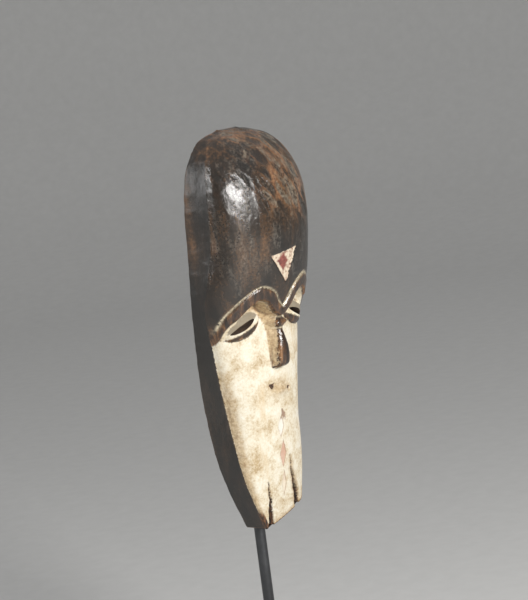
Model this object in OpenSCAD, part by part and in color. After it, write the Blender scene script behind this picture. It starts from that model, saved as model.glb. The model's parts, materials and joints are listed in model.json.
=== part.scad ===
// A carved wooden face mask, hollow behind, held on a mount of steel bars with felt pads.
// The mask and the bars that carry it are drawn in the mask's own frame: X across,
// -Y out of the face and Z up from the chin. That frame leans forward on the post.
// The post and the base are drawn upright, with Z = 0 at the underside of the base.

/* [Mask] */
// Height of the mask before its chin is cut aslant
mask_h = 440; // [380:5:500]
// Width across the rim at the crown
crown_w = 154; // [130:1:180]
// Width across the rim at the temples
temple_w = 148; // [125:1:175]
// Width across the rim just above the chin
chin_w = 92; // [78:1:108]
// Depth of the crown and forehead from the rim to the front
forehead_depth = 75; // [66:1:88]
// Depth of the face from the rim to the front, on the centre line
face_depth = 53; // [46:1:62]
// Depth of the flat side of the mask, from the rim to the edge of the face
side_depth = 28; // [24:1:33]
// Thickness of the carved wall
wall = 9; // [7.5:0.5:11]
// Angle by which the chin is cut aslant across its width
chin_slope = 16; // [8:1:20]
// How far the chin's back edge is carved in front of the rim
chin_relief = 22; // [18:1:26]

/* [Carving] */
// Length of the nose
nose_l = 62; // [52:1:75]
// Width of the nose at its tip
nose_w = 21; // [17:1:25]
// How far the nose stands out of the face
nose_out = 15; // [12:0.5:17]
// Thickness of the brow ridge
brow_t = 11; // [9:0.5:13]
// Length of the slit of each eye
slit_l = 30; // [24:1:34]
// Height of the slit of each eye
slit_h = 6; // [5:0.5:8]
// Distance between the centres of the eyes
eye_pitch = 84; // [74:1:90]
// Slant of the eyes, down towards their outer ends
eye_slant = 22; // [14:1:28]
// Turn of the eyes towards the sides
eye_turn = 20; // [10:1:26]
// Width of the triangle cut in the forehead
triangle_w = 41; // [32:1:48]
// Height of the triangle cut in the forehead
triangle_h = 34; // [26:1:42]
// Depth of the triangle and of the other shallow cuts
cut_depth = 1.5; // [1:0.1:2]

/* [Post] */
// Diameter of the post
post_d = 12; // [10:0.5:14.5]
// Height of the chin above the block
chin_rise = 150; // [125:1:200]
// Distance of the post behind the middle of the block
post_back = 32; // [20:1:38]
// Angle by which the mask leans forward of the post
lean = 5; // [3:0.5:6]
// Diameter of the spigot that the hub turns on
spigot_d = 8; // [6.5:0.5:9.5]
// Length of the spigot that the hub turns on
spigot_l = 26; // [22:1:30]
// Radial clearance of a shaft in its bore
running_gap = 0.05; // [0.02:0.01:0.09]
// Thickness of the rubber sleeve behind the chin
sleeve_t = 2.5; // [2:0.1:3]
// Length of the rubber sleeve behind the chin
sleeve_l = 30; // [20:1:36]

/* [Mount] */
// Height of the hub's underside above the chin
hub_rise = 148; // [130:1:165]
// Width of the spine and of the crown arm
bar_w = 18; // [16:1:22]
// Thickness of all the flat bars
bar_t = 4; // [3:0.5:5]
// Width of the cross bar
cross_w = 14; // [13:1:17]
// Distance of the cross bar below the top of the hollow
cross_drop = 96; // [80:1:130]
// Length of the lugs that carry the temple pads
lug_l = 16; // [14:1:19]
// Diameter of the felt pads at the temples
temple_pad_d = 16; // [14:1:18]
// Width of the felt pad under the crown
crown_pad_w = 34; // [26:1:42]
// Depth of the felt pad under the crown
crown_pad_l = 16; // [12:1:18]
// Thickness of the felt pads
pad_t = 6; // [5:0.5:8]
// Gap between the mask and what holds it
rest_gap = 0.3; // [0.2:0.05:0.5]
// Diameter of the screws that join the bars
screw_d = 4; // [3.5:0.5:4.5]
// Diameter of the threaded stud under the crown
stud_d = 5; // [4:0.5:6]
// Height of the crown pad's plate above the crown arm
stud_rise = 20; // [14:1:28]
// Width of the hub block
hub_w = 20; // [18:1:24]
// Height of the hub block
hub_h = 34; // [33:1:40]
// Steel left between the hub's bore and its faces
hub_wall = 5; // [4.5:0.5:7]

/* [Base] */
// Width and depth of the wooden block
block_w = 170; // [150:5:205]
// Height of the wooden block
block_h = 36; // [30:1:44]
// Rounding of the block's upright edges
block_round = 6; // [3:1:10]
// Thickness of the felt under the block
felt_t = 2; // [1.5:0.5:4]
// Width of the steel plate let into the underside
ballast_w = 130; // [105:5:140]
// Thickness of the steel plate let into the underside
ballast_t = 8; // [6:1:10]
// Wall of the socket tube
tube_wall = 4; // [3:0.5:5]
// Height of the socket tube above the block
tube_rise = 52; // [44:1:64]
// Diameter of the socket's flange
flange_d = 56; // [50:1:66]
// Thickness of the socket's flange
flange_t = 4; // [3:0.5:6]
// Diameter of the clamp screw
clamp_d = 5; // [4:0.5:6]
// Diameter of the clamp screw's knurled head
clamp_head_d = 18; // [15:1:22]

/* [Hidden] */
$fn = 48;

// Colours
dark_wood = [0.16, 0.10, 0.07];
black_steel = [0.12, 0.12, 0.13];
bare_steel = [0.62, 0.63, 0.65];
black_felt = [0.06, 0.06, 0.07];
black_rubber = [0.09, 0.09, 0.09];
black_paint = [0.08, 0.08, 0.08];

// Heights on the carving
mouth_z = 0.370 * mask_h;
eye_z = 0.538 * mask_h;
bridge_z = 0.570 * mask_h;
brow_peak_z = 0.636 * mask_h;
triangle_z = 0.633 * mask_h;
nose_tip_z = bridge_z - nose_l;

// Lines of [share of the height, value], each drawn as one smooth curve
rim_line = [[0, 0.25 * chin_w], [0.023, 0.345 * chin_w], [0.057, 0.415 * chin_w],
    [0.11, 0.5 * chin_w], [0.20, 0.62 * chin_w], [0.30, 0.429 * temple_w],
    [0.39, 0.470 * temple_w], [0.48, 0.493 * temple_w], [0.60, 0.507 * temple_w],
    [0.75, 0.495 * crown_w], [0.83, 0.5 * crown_w], [0.90, 0.465 * crown_w],
    [0.95, 0.395 * crown_w], [0.984, 0.28 * crown_w], [1, 0.1 * crown_w]];
// How far the flat side leans in between the rim and the edge of the face
draw_in_line = [[0, 4.5], [0.09, 4.5], [0.14, 5], [0.216, 8], [0.284, 10.4], [0.352, 10.8],
    [0.414, 9.5], [0.49, 6.3], [0.557, 2.6], [0.60, 1.4], [0.66, 1.4], [0.75, 4.5], [1, 5]];
rim_back_line = [[0, chin_relief], [0.05, 0.87 * chin_relief], [0.14, 0.46 * chin_relief],
    [0.23, 0.18 * chin_relief], [0.34, 0], [1, 0]];
side_line = [[0, 0.91 * side_depth], [0.14, 0.97 * side_depth], [0.216, 0.95 * side_depth],
    [0.284, 0.86 * side_depth], [0.352, 0.80 * side_depth], [0.414, 0.76 * side_depth],
    [0.49, 0.72 * side_depth], [0.557, 0.67 * side_depth], [0.60, 0.73 * side_depth],
    [0.66, 0.94 * side_depth], [0.75, 1.125 * side_depth], [0.86, 1.07 * side_depth],
    [0.943, 0.78 * side_depth], [0.982, 0.43 * side_depth], [1, 0.1 * side_depth]];
face_line = [[0, 0.88 * face_depth], [0.034, 0.93 * face_depth], [0.136, 0.98 * face_depth],
    [0.25, face_depth], [0.36, face_depth], [0.395, 0.97 * face_depth],
    [0.43, 0.90 * face_depth], [0.49, 0.85 * face_depth], [0.56, 0.87 * face_depth],
    [0.64, 0.93 * face_depth], [1, 0.93 * face_depth]];
forehead_line = [[0.45, 0.74 * forehead_depth], [0.55, 0.80 * forehead_depth],
    [0.59, 0.85 * forehead_depth], [0.65, 0.93 * forehead_depth], [0.75, forehead_depth],
    [0.81, 0.97 * forehead_depth], [0.875, 0.88 * forehead_depth],
    [0.93, 0.70 * forehead_depth], [0.977, 0.43 * forehead_depth], [1, 0.11 * forehead_depth]];
// Top edge of the brow: [share of the half width, share of the rise from bridge to peak]
brow_line = [[0, 0], [0.11, 0.32], [0.205, 0.68], [0.355, 0.93], [0.505, 1], [0.69, 0.75],
    [0.81, 0.42], [0.90, 0.04], [0.965, -0.44], [1, -1.06]];

// Steps round and up the mask's skins
arc_steps = 32;
inner_arc_steps = 20;
inner_ring_steps = 26;

// Where the hollow ends below and above
hollow_z = 0.062 * mask_h;
ceiling_z = mask_h - 2 * wall;
rim_overrun = 8;
cross_rise = ceiling_z - cross_drop;

// Small cuts: the chain of lozenges down the chin, and the nicks at the corners of the mouth
lozenge_heights = [for (share = [0.31, 0.235, 0.17, 0.11]) share * mask_h];
lozenge_l = 26;
cut_overlap = 6 * cut_depth;
nick_x = 13;
nick_side = 5;
nick_depth = 3;

// Upright pieces
block_top = felt_t + block_h;
tube_foot = felt_t + ballast_t;
tube_top = block_top + tube_rise;
tube_r = post_d / 2 + running_gap + tube_wall;
clamp_z = tube_top - 16;
clamp_boss = 8;
clamp_head_l = 9;
clamp_collar_d = 2.6 * clamp_d;
knurl_d = 3;
ballast_screw_pitch = 1.15 * ballast_w;
wood_screw_d = 4;
wood_screw_l = 18;
flange_pitch = flange_d - 14;
post_foot = tube_foot + rest_gap;
chin_z = block_top + chin_rise;

// The post's axis crosses the mask's frame
sleeve_r = post_d / 2 + sleeve_t;
post_front = rim_back(hollow_z) - sleeve_r / cos(lean) - rest_gap + hollow_z * tan(lean);
mask_y = post_back + post_front * cos(lean);
shoulder_z = upright_z(hub_rise);
sleeve_z = upright_z(hollow_z) - 0.6 * sleeve_l;
spine_y = -post_axis(hub_rise) - (spigot_d / 2 + hub_wall) / cos(lean);

// Bars, screws and pads
plate_t = 2;
nut_t = 4;
nut_d = 1.8 * stud_d;
head_d = 1.75 * screw_d;
screw_l = 2 * bar_t;
pad_z = ceiling_z - rest_gap - pad_t;
arm_z = pad_z - plate_t - stud_rise - bar_t;
arm_l = 24;
arm_leg = 40;
stud_y = spine_y - 10;
hub_screw_heights = [hub_h - 24, hub_h - 10];
arm_screw_drops = [12, 26];
cross_screw_x = (bar_w - head_d - 1) / 2;
pad_x = inner_half(cross_rise - temple_pad_d / 2) - rest_gap - pad_t;

function span(line, x, i = 0) =
    i >= len(line) - 2 || x < line[i + 1][0] ? i : span(line, x, i + 1);
function grade(line, i) = let (a = max(i - 1, 0), b = min(i + 1, len(line) - 1))
    (line[b][1] - line[a][1]) / (line[b][0] - line[a][0]);

// Height of a line at x, on a cubic through its points
function value(line, x) = let (
    i = span(line, x), p = line[i], q = line[i + 1], h = q[0] - p[0],
    s = min(max((x - p[0]) / h, 0), 1), g = grade(line, i) * h, k = grade(line, i + 1) * h)
    p[1] * (2 * pow(s, 3) - 3 * s * s + 1) + g * (pow(s, 3) - 2 * s * s + s)
    + q[1] * (3 * s * s - 2 * pow(s, 3)) + k * (pow(s, 3) - s * s);
function ease(a, b, x) = let (s = min(max((x - a) / (b - a), 0), 1)) s * s * (3 - 2 * s);

// The outline of the mask, z above the chin
function rim_half(z) = value(rim_line, z / mask_h);
function draw_in(z) = value(draw_in_line, z / mask_h);
function edge_half(z) = rim_half(z) - draw_in(z);
function rim_back(z) = value(rim_back_line, z / mask_h);
function side_front(z) = rim_back(z) + value(side_line, z / mask_h);

// The front bulges between the edges of the face; r is a share of the half width
function bulge(r) = sqrt(max(1 - r * r, 0));
function brow_top(r) = bridge_z + (brow_peak_z - bridge_z) * value(brow_line, min(r, 1));
function socket(r, z) = 8 * exp(-pow((r - 0.5) / 0.26, 2) - pow((z - eye_z - 8) / 26, 2));
function face_front(r, z) = side_front(z) - socket(r, z)
    + (value(face_line, z / mask_h) - side_front(z)) * bulge(r);
function forehead_front(r, z) = side_front(z)
    + (value(forehead_line, z / mask_h) - side_front(z)) * bulge(r);
function front(r, z) = let (k = ease(brow_top(r) - 1.9 * brow_t, brow_top(r) - 0.3 * brow_t, z))
    face_front(r, z) * (1 - k) + forehead_front(r, z) * k;
function front_at(x, z) = front(min(abs(x) / edge_half(z), 1), z);

// The hollow keeps the wall's thickness, and more of it under the step of the brow
function inner_half(z) = edge_half(z) - wall;
function inner_front(r, z) = let (d = wall * (1 - ease(0.70, 0.85, z / mask_h)))
    min(front(r, z - d), front(r, z), front(r, z + d)) - wall;

// The post's axis in the mask's frame, and a height along it in the upright frame
function post_axis(z) = post_front - z * tan(lean);
function upright_z(z) = chin_z - post_front * sin(lean) + z / cos(lean);

// One section of each skin, round from rim to rim
function outer_ring(z) = let (w = rim_half(z), e = edge_half(z), b = rim_back(z))
    concat([[-w, -b, z]],
        [for (i = [0 : arc_steps]) let (c = -cos(180 * i / arc_steps))
            [e * c, -front(abs(c), z), z]],
        [[w, -b, z]]);
function inner_ring(z) = let (w = inner_half(z), o = w + 0.6 * draw_in(z))
    concat([[-o, rim_overrun, z]],
        [for (i = [0 : inner_arc_steps]) let (c = -cos(180 * i / inner_arc_steps))
            [w * c, -inner_front(abs(c), z), z]],
        [[o, rim_overrun, z]]);

// Heights of the sections: even up to the top one, or drawing closer together towards it
function even(low, high, n) = [for (i = [0 : n - 1]) low + (high - low) * i / n];
function closing(low, high, n) = [for (i = [0 : n]) low + (high - low) * (1 - pow(1 - i / n, 1.4))];
below_eyes = eye_z - 2 * brow_t;
above_brows = brow_peak_z + brow_t;
outer_heights = concat(even(0, below_eyes, 22), even(below_eyes, above_brows, 26),
    closing(above_brows, mask_h, 20));
inner_heights = closing(hollow_z, ceiling_z, inner_ring_steps);

// A closed skin through sections of equally many points
module loft(rings) {
    n = len(rings[0]);
    last = (len(rings) - 1) * n;
    points = [for (ring = rings) for (p = ring) p];
    sides = [for (j = [0 : n : last - n]) for (i = [0 : n - 1])
        let (a = j + i, b = j + (i + 1) % n)
        for (t = [[a, b + n, b], [a, a + n, b + n]]) t];
    bottom = [for (i = [0 : n - 1]) i];
    top = [for (i = [n - 1 : -1 : 0]) last + i];
    polyhedron(points, concat(sides, [bottom, top]), convexity = 8);
}

// Puts a piece drawn in the mask's frame where the mask stands
module on_mask() {
    translate([0, mask_y, chin_z]) rotate([lean, 0, 0]) children();
}

// Stands a piece on the carved front at x and z, with its own Z out of the face
module on_face(x, z, sink = 0) {
    translate([x, sink - front_at(x, z), z]) rotate([90, 0, 0]) children();
}

module both_sides() {
    children();
    mirror([1, 0, 0]) children();
}

// A lens-shaped outline: two arcs that meet in points
module lens(l, h) {
    r = (l * l / 4 + h * h / 4) / h;
    intersection() {
        translate([0, r - h / 2]) circle(r);
        translate([0, h / 2 - r]) circle(r);
    }
}

module brow() {
    steps = 10;
    for (i = [0 : steps - 1]) hull() {
        brow_bead(0.04 + 0.92 * i / steps);
        brow_bead(0.04 + 0.92 * (i + 1) / steps);
    }
}
module brow_bead(r) {
    z = brow_top(r) - 0.5 * brow_t;
    translate([-r * edge_half(z), 0.2 * brow_t - forehead_front(r, z), z])
        sphere(brow_t * (0.5 - 0.2 * ease(0.7, 1, r)), $fn = 10);
}

module nose() {
    tip = nose_w / 2;
    hull() {
        translate([0, -front_at(0, bridge_z), bridge_z]) sphere(0.32 * nose_w, $fn = 16);
        translate([0, -front_at(0, nose_tip_z) - nose_out + tip, nose_tip_z + tip])
            sphere(tip, $fn = 20);
        translate([0, tip - front_at(0, nose_tip_z), nose_tip_z + 1.6 * tip])
            sphere(1.1 * tip, $fn = 16);
    }
}

module eyelids() {
    rotate([0, eye_turn, -eye_slant]) scale([1, 0.5, 0.3]) sphere(0.64 * slit_l, $fn = 20);
}
module eye_slit() {
    rotate([0, eye_turn, -eye_slant]) translate([0, 0, -3 * wall])
        linear_extrude(5 * wall) lens(slit_l, slit_h, $fn = 32);
}

module mouth() {
    scale([1, 0.45, 0.2]) sphere(16, $fn = 18);
}
module mouth_nick() {
    rotate([0, 0, 45]) cube([nick_side, nick_side, nick_depth], center = true);
}

module forehead_triangle() {
    tilt = atan((forehead_front(0, triangle_z + triangle_h) - forehead_front(0, triangle_z))
        / triangle_h);
    rotate([-tilt, 0, 0]) linear_extrude(cut_overlap)
        polygon([[0, 0], [triangle_w / 2, triangle_h], [-triangle_w / 2, triangle_h]]);
}

module chin_lozenge() {
    scale([0.36, 1, 1]) cylinder(d = lozenge_l, h = cut_overlap, $fn = 4);
}

// The slanting end of the chin
module chin_cut() {
    low = 0.027 * mask_h;
    translate([-0.3 * chin_w, 0, low]) rotate([0, -chin_slope, 0])
        translate([-chin_w, -2 * face_depth, -chin_w]) cube([3 * chin_w, 3 * face_depth, chin_w]);
}

module mask_shell() {
    color(dark_wood) on_mask() difference() {
        union() {
            loft([for (z = outer_heights) outer_ring(z)]);
            both_sides() brow();
            both_sides() on_face(eye_pitch / 2, eye_z) eyelids();
            on_face(0, mouth_z, 1) mouth();
            nose();
        }
        loft([for (z = inner_heights) inner_ring(z)]);
        both_sides() on_face(eye_pitch / 2, eye_z) eye_slit();
        both_sides() on_face(nick_x, mouth_z, -nick_depth) mouth_nick();
        on_face(0, triangle_z, cut_depth) forehead_triangle();
        for (z = lozenge_heights) on_face(0, z, cut_depth) chin_lozenge();
        chin_cut();
    }
}

// Base

module rounded_block(w, h, r) {
    inner = w / 2 - r;
    for (a = [0, 90]) rotate(a) translate([-w / 2, -inner, 0]) cube([w, 2 * inner, h]);
    for (x = [-inner, inner], y = [-inner, inner]) translate([x, y, 0]) cylinder(r = r, h = h);
}

// The places of four screws on a circle of diameter d
module four_round(d) {
    for (a = [45 : 90 : 315]) rotate(a) translate([d / 2, 0, 0]) children();
}

// A countersunk wood screw, head up at Z = 0
module wood_screw() {
    translate([0, 0, -wood_screw_l]) cylinder(d = wood_screw_d, h = wood_screw_l);
    translate([0, 0, -wood_screw_d / 2])
        cylinder(d1 = wood_screw_d, d2 = 2 * wood_screw_d, h = wood_screw_d / 2);
}

module base_block() {
    color(black_paint) difference() {
        translate([0, 0, felt_t]) rounded_block(block_w, block_h, block_round);
        translate([-ballast_w / 2, -ballast_w / 2, felt_t]) cube([ballast_w, ballast_w, ballast_t]);
        translate([0, post_back, 0]) cylinder(r = tube_r, h = block_top + 1);
        translate([0, post_back, block_top + flange_t]) four_round(flange_pitch) wood_screw();
        translate([0, 0, felt_t]) mirror([0, 0, 1]) four_round(ballast_screw_pitch) wood_screw();
    }
}

module ballast_plate() {
    color(bare_steel) difference() {
        translate([-ballast_w / 2, -ballast_w / 2, felt_t]) cube([ballast_w, ballast_w, ballast_t]);
        translate([0, 0, felt_t]) mirror([0, 0, 1]) four_round(ballast_screw_pitch) wood_screw();
    }
}

module ballast_screws() {
    color(bare_steel) translate([0, 0, felt_t]) mirror([0, 0, 1])
        four_round(ballast_screw_pitch) wood_screw();
}

module base_felt() {
    color(black_felt) rounded_block(block_w - 2 * felt_t, felt_t, block_round);
}

module socket_tube() {
    color(black_steel) difference() {
        union() {
            translate([0, post_back, tube_foot]) cylinder(r = tube_r, h = tube_top - tube_foot);
            translate([0, post_back, block_top]) cylinder(d = flange_d, h = flange_t);
            translate([0, post_back, clamp_z]) rotate([-90, 0, 0])
                cylinder(d = clamp_collar_d, h = tube_r + clamp_boss);
        }
        translate([0, post_back, tube_foot - 1])
            cylinder(d = post_d + 2 * running_gap, h = tube_top - tube_foot + 2);
        translate([0, post_back, clamp_z]) rotate([-90, 0, 0])
            cylinder(d = clamp_d + 2 * running_gap, h = tube_r + clamp_boss + 1);
        translate([0, post_back, block_top + flange_t]) four_round(flange_pitch) wood_screw();
    }
}

module flange_screws() {
    color(bare_steel) translate([0, post_back, block_top + flange_t])
        four_round(flange_pitch) wood_screw();
}

module clamp_screw() {
    tip = post_d / 2 + rest_gap;
    head = tube_r + clamp_boss + rest_gap;
    color(bare_steel) translate([0, post_back, clamp_z]) rotate([-90, 0, 0]) {
        translate([0, 0, tip]) cylinder(d = clamp_d, h = head - tip);
        difference() {
            translate([0, 0, head]) cylinder(d = clamp_head_d, h = clamp_head_l);
            for (a = [0 : 30 : 330]) rotate(a) translate([(clamp_head_d + 1) / 2, 0, head + 2])
                cylinder(d = knurl_d, h = clamp_head_l);
        }
    }
}

// Post and head

module post() {
    color(black_steel) translate([0, post_back, 0]) {
        translate([0, 0, post_foot]) cylinder(d = post_d, h = shoulder_z - post_foot);
        translate([0, 0, shoulder_z]) cylinder(d = spigot_d, h = spigot_l);
    }
}

module chin_sleeve() {
    color(black_rubber) translate([0, post_back, sleeve_z]) difference() {
        cylinder(r = sleeve_r, h = sleeve_l);
        translate([0, 0, -1]) cylinder(d = post_d, h = sleeve_l + 2);
    }
}

// A cap screw along Y in the mask's frame: its head at y, its shank towards -Y or +Y
module bar_screw(x, y, z, way) {
    translate([x, y, z]) rotate([90 * way, 0, 0]) {
        cylinder(d = screw_d, h = screw_l);
        translate([0, 0, -screw_d]) cylinder(d = head_d, h = screw_d);
    }
}
module hub_screws() {
    for (z = hub_screw_heights) bar_screw(0, spine_y - bar_t, hub_rise + z, -1);
}
module crown_arm_screws() {
    for (z = arm_screw_drops) bar_screw(0, spine_y + bar_t, arm_z - z, 1);
}
module cross_screws() {
    for (x = [-cross_screw_x, cross_screw_x]) bar_screw(x, spine_y + bar_t, cross_rise, 1);
}

module hub() {
    back = spigot_d / 2 + hub_wall;
    color(black_steel) difference() {
        translate([-hub_w / 2, post_back - 2 * back, shoulder_z]) cube([hub_w, 3 * back, hub_h]);
        on_mask() translate([-hub_w, spine_y - face_depth, 0])
            cube([2 * hub_w, face_depth, mask_h]);
        translate([0, post_back, shoulder_z - 1])
            cylinder(d = spigot_d + 2 * running_gap, h = spigot_l + 1 + rest_gap);
        translate([0, post_back, shoulder_z + spigot_l / 2]) rotate([-90, 0, 0])
            cylinder(d = screw_d, h = 2 * back);
        on_mask() hub_screws();
    }
}

module hub_grub_screw() {
    color(bare_steel) translate([0, post_back + spigot_d / 2 + rest_gap, shoulder_z + spigot_l / 2])
        rotate([-90, 0, 0]) difference() {
            cylinder(d = screw_d, h = hub_wall - rest_gap);
            translate([0, 0, hub_wall - 2]) cylinder(d = screw_d / 2, h = 2, $fn = 6);
        }
}

module spine() {
    color(black_steel) on_mask() difference() {
        translate([-bar_w / 2, spine_y - bar_t, hub_rise + 2])
            cube([bar_w, bar_t, arm_z - hub_rise - 2]);
        hub_screws();
        crown_arm_screws();
        cross_screws();
    }
}

module bar_screws() {
    color(bare_steel) on_mask() {
        hub_screws();
        crown_arm_screws();
        cross_screws();
    }
}

module crown_arm() {
    color(black_steel) on_mask() difference() {
        union() {
            translate([-bar_w / 2, spine_y, arm_z - arm_leg]) cube([bar_w, bar_t, arm_leg + bar_t]);
            translate([-bar_w / 2, spine_y + bar_t - arm_l, arm_z]) cube([bar_w, arm_l, bar_t]);
        }
        crown_arm_screws();
        translate([0, stud_y, arm_z - 1]) cylinder(d = stud_d, h = bar_t + 2);
    }
}

module crown_stud() {
    foot = arm_z - nut_t - 2;
    color(bare_steel) on_mask() {
        translate([0, stud_y, foot]) cylinder(d = stud_d, h = pad_z - plate_t - foot);
        translate([-crown_pad_w / 2, stud_y - crown_pad_l / 2, pad_z - plate_t])
            cube([crown_pad_w, crown_pad_l, plate_t]);
    }
}

module crown_nuts() {
    color(bare_steel) on_mask() for (z = [arm_z - nut_t, arm_z + bar_t])
        translate([0, stud_y, z]) difference() {
            cylinder(d = nut_d, h = nut_t, $fn = 6);
            translate([0, 0, -1]) cylinder(d = stud_d, h = nut_t + 2);
        }
}

module crown_pad() {
    color(black_felt) on_mask() translate([-crown_pad_w / 2, stud_y - crown_pad_l / 2, pad_z])
        cube([crown_pad_w, crown_pad_l, pad_t]);
}

module cross_bar() {
    color(black_steel) on_mask() difference() {
        union() {
            translate([-pad_x, spine_y, cross_rise - cross_w / 2])
                cube([2 * pad_x, bar_t, cross_w]);
            for (x = [-pad_x, pad_x - bar_t])
                translate([x, spine_y + bar_t - lug_l, cross_rise - cross_w / 2])
                    cube([bar_t, lug_l, cross_w]);
        }
        cross_screws();
    }
}

module temple_pad(side) {
    color(black_felt) on_mask()
        translate([side * pad_x, spine_y + bar_t - lug_l / 2, cross_rise])
        rotate([0, 90 * side, 0]) cylinder(d = temple_pad_d, h = pad_t);
}
module left_temple_pad() { temple_pad(-1); }
module right_temple_pad() { temple_pad(1); }

mask_shell();
base_block();
ballast_plate();
ballast_screws();
base_felt();
socket_tube();
flange_screws();
clamp_screw();
post();
chin_sleeve();
hub();
hub_grub_screw();
spine();
bar_screws();
crown_arm();
crown_stud();
crown_nuts();
crown_pad();
cross_bar();
left_temple_pad();
right_temple_pad();
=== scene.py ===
# %% [markdown]
# # A carved wooden mask on its display mount
# The mask is one block of wood: a polished black-brown crown and brows over a face rubbed
# with white clay, hollow behind. It hangs on a padded steel cradle on a thin post. The frame
# already holds every part at its real size, so this script only gives them their looks.

# %% The frame
import json
import math
import bmesh
import bpy
import numpy as np
from mathutils import Matrix, Vector

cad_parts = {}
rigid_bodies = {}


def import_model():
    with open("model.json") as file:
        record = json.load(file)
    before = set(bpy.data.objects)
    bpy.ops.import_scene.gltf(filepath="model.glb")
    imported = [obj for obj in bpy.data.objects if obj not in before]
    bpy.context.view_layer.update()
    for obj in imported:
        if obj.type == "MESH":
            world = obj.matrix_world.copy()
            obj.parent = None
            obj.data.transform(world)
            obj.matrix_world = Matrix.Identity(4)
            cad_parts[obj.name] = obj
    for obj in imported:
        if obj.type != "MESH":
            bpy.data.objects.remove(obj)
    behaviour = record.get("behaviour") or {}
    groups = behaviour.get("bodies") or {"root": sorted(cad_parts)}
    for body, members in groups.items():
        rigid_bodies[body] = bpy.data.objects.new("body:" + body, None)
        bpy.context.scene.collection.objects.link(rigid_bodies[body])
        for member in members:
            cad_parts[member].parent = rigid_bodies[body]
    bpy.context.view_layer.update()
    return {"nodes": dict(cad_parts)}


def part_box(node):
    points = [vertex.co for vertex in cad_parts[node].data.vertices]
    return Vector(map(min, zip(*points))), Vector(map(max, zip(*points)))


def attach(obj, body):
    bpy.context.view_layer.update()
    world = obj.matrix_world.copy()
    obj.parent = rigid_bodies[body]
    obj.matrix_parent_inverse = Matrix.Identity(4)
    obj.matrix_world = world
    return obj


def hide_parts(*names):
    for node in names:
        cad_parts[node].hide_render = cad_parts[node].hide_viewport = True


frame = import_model()
MM = 0.001

# %% [markdown]
# ## The mask's own frame
# A carver works square to the block, so the mask is easiest to shape in its own axes: x
# across, f forward out of the face, z up from the chin, all in millimetres. The mount then
# leans the whole carving forward. One matrix does that, and the camera uses it too.

# %% From the block to the stand
LEAN = math.radians(5)
POST_TO_RIM = 11.6
post_low, post_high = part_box("post")
post_y = (post_low[1] + post_high[1]) / 2
block_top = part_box("base_block")[1][2]
CHIN_RISE = 0.150
mask_at = Vector((0, post_y + POST_TO_RIM * MM * math.cos(LEAN), block_top + CHIN_RISE))
to_stand = Matrix.Translation(mask_at) @ Matrix.Rotation(LEAN, 4, "X")


def place(x, f, z):
    """Mask millimetres to metres on the stand, for arrays of any shape."""
    p = np.stack([x * MM, -f * MM, z * MM], -1)
    m = np.array(to_stand)
    return p @ m[:3, :3].T + m[:3, 3]


def in_mask(points):
    """Metres on the stand back to x, f and z in mask millimetres."""
    m = np.array(to_stand.inverted())
    q = (points @ m[:3, :3].T + m[:3, 3]) / MM
    return q[:, 0], -q[:, 1], q[:, 2]


print("chin at", [round(v, 4) for v in mask_at])

# %% [markdown]
# ## Lines of the carving
# Every outline of the mask is a smooth curve through a few chosen points: how wide the rim
# is at each height, how deep the flat side is, how far the face and the forehead stand out.
# A cubic through the points gives a long even line, as a carver's eye does.

# %% Smooth lines
def line(*points):
    """A function that draws one smooth curve through (place, value) points."""
    px, py = np.array(points, float).T
    steps = np.diff(px)
    slope = np.empty_like(py)
    slope[1:-1] = (py[2:] - py[:-2]) / (px[2:] - px[:-2])
    slope[0] = (py[1] - py[0]) / steps[0]
    slope[-1] = (py[-1] - py[-2]) / steps[-1]

    def value(x):
        x = np.clip(x, px[0], px[-1])
        i = np.clip(np.searchsorted(px, x) - 1, 0, len(px) - 2)
        h = steps[i]
        s = (x - px[i]) / h
        rise = py[i] * (2 * s**3 - 3 * s**2 + 1) + py[i + 1] * (3 * s**2 - 2 * s**3)
        return rise + h * (slope[i] * (s**3 - 2 * s**2 + s) + slope[i + 1] * (s**3 - s**2))

    return value


def ease(low, high, x):
    """0 at low, 1 at high, smooth between."""
    s = np.clip((x - low) / (high - low), 0, 1)
    return s * s * (3 - 2 * s)


def peak(away, width):
    """1 where away is 0, falling softly to 0 on both sides."""
    return np.exp(-(away / width) ** 2)


def spot(x, z, centre, size):
    """1 in the middle of a soft oval spot, falling to 0 round it."""
    return np.exp(-((x - centre[0]) / size[0]) ** 2 - ((z - centre[1]) / size[1]) ** 2)


def least(*fields):
    return np.min(np.broadcast_arrays(*fields), axis=0)


HEIGHT = 440
FAR = 1e9
rim_half = line((0, 23), (10, 31.7), (25, 38.2), (48, 46), (88, 57), (132, 63.5), (172, 69.6),
                (211, 73), (264, 75), (330, 76.2), (365, 77), (396, 73), (418, 63),
                (433, 45), (HEIGHT, 15.4))
draw_in = line((0, 4.5), (40, 4.5), (62, 5), (95, 8), (125, 10.4), (155, 10.8), (182, 9.5),
               (216, 6.3), (245, 2.6), (264, 1.4), (290, 1.4), (330, 4.5), (440, 5))
rim_back = line((0, 22), (22, 19.1), (62, 10.1), (101, 4), (150, 0), (440, 0))
side_depth = line((0, 25.5), (62, 27.2), (95, 26.6), (125, 24.1), (155, 22.4), (182, 21.3),
                  (216, 20.2), (245, 18.8), (264, 20.4), (290, 26.3), (330, 31.5), (378, 30),
                  (415, 21.8), (432, 12), (440, 2.8))
face_line = line((0, 46.6), (15, 49.3), (60, 52), (110, 53), (158, 53), (174, 51.5), (200, 50.5),
                 (240, 48), (282, 49), (440, 49))
brow_line = line((198, 55), (242, 60), (260, 64), (286, 70), (330, 75), (356, 73), (385, 66),
                 (409, 52.5), (430, 32.2), (440, 8.2))


def edge_half(z):
    return rim_half(z) - draw_in(z)


def side_front(z):
    return rim_back(z) + side_depth(z)


def bulge(r):
    return np.sqrt(np.clip(1 - r * r, 0, 1))


print("half width at the temples:", float(rim_half(260)))

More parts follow.
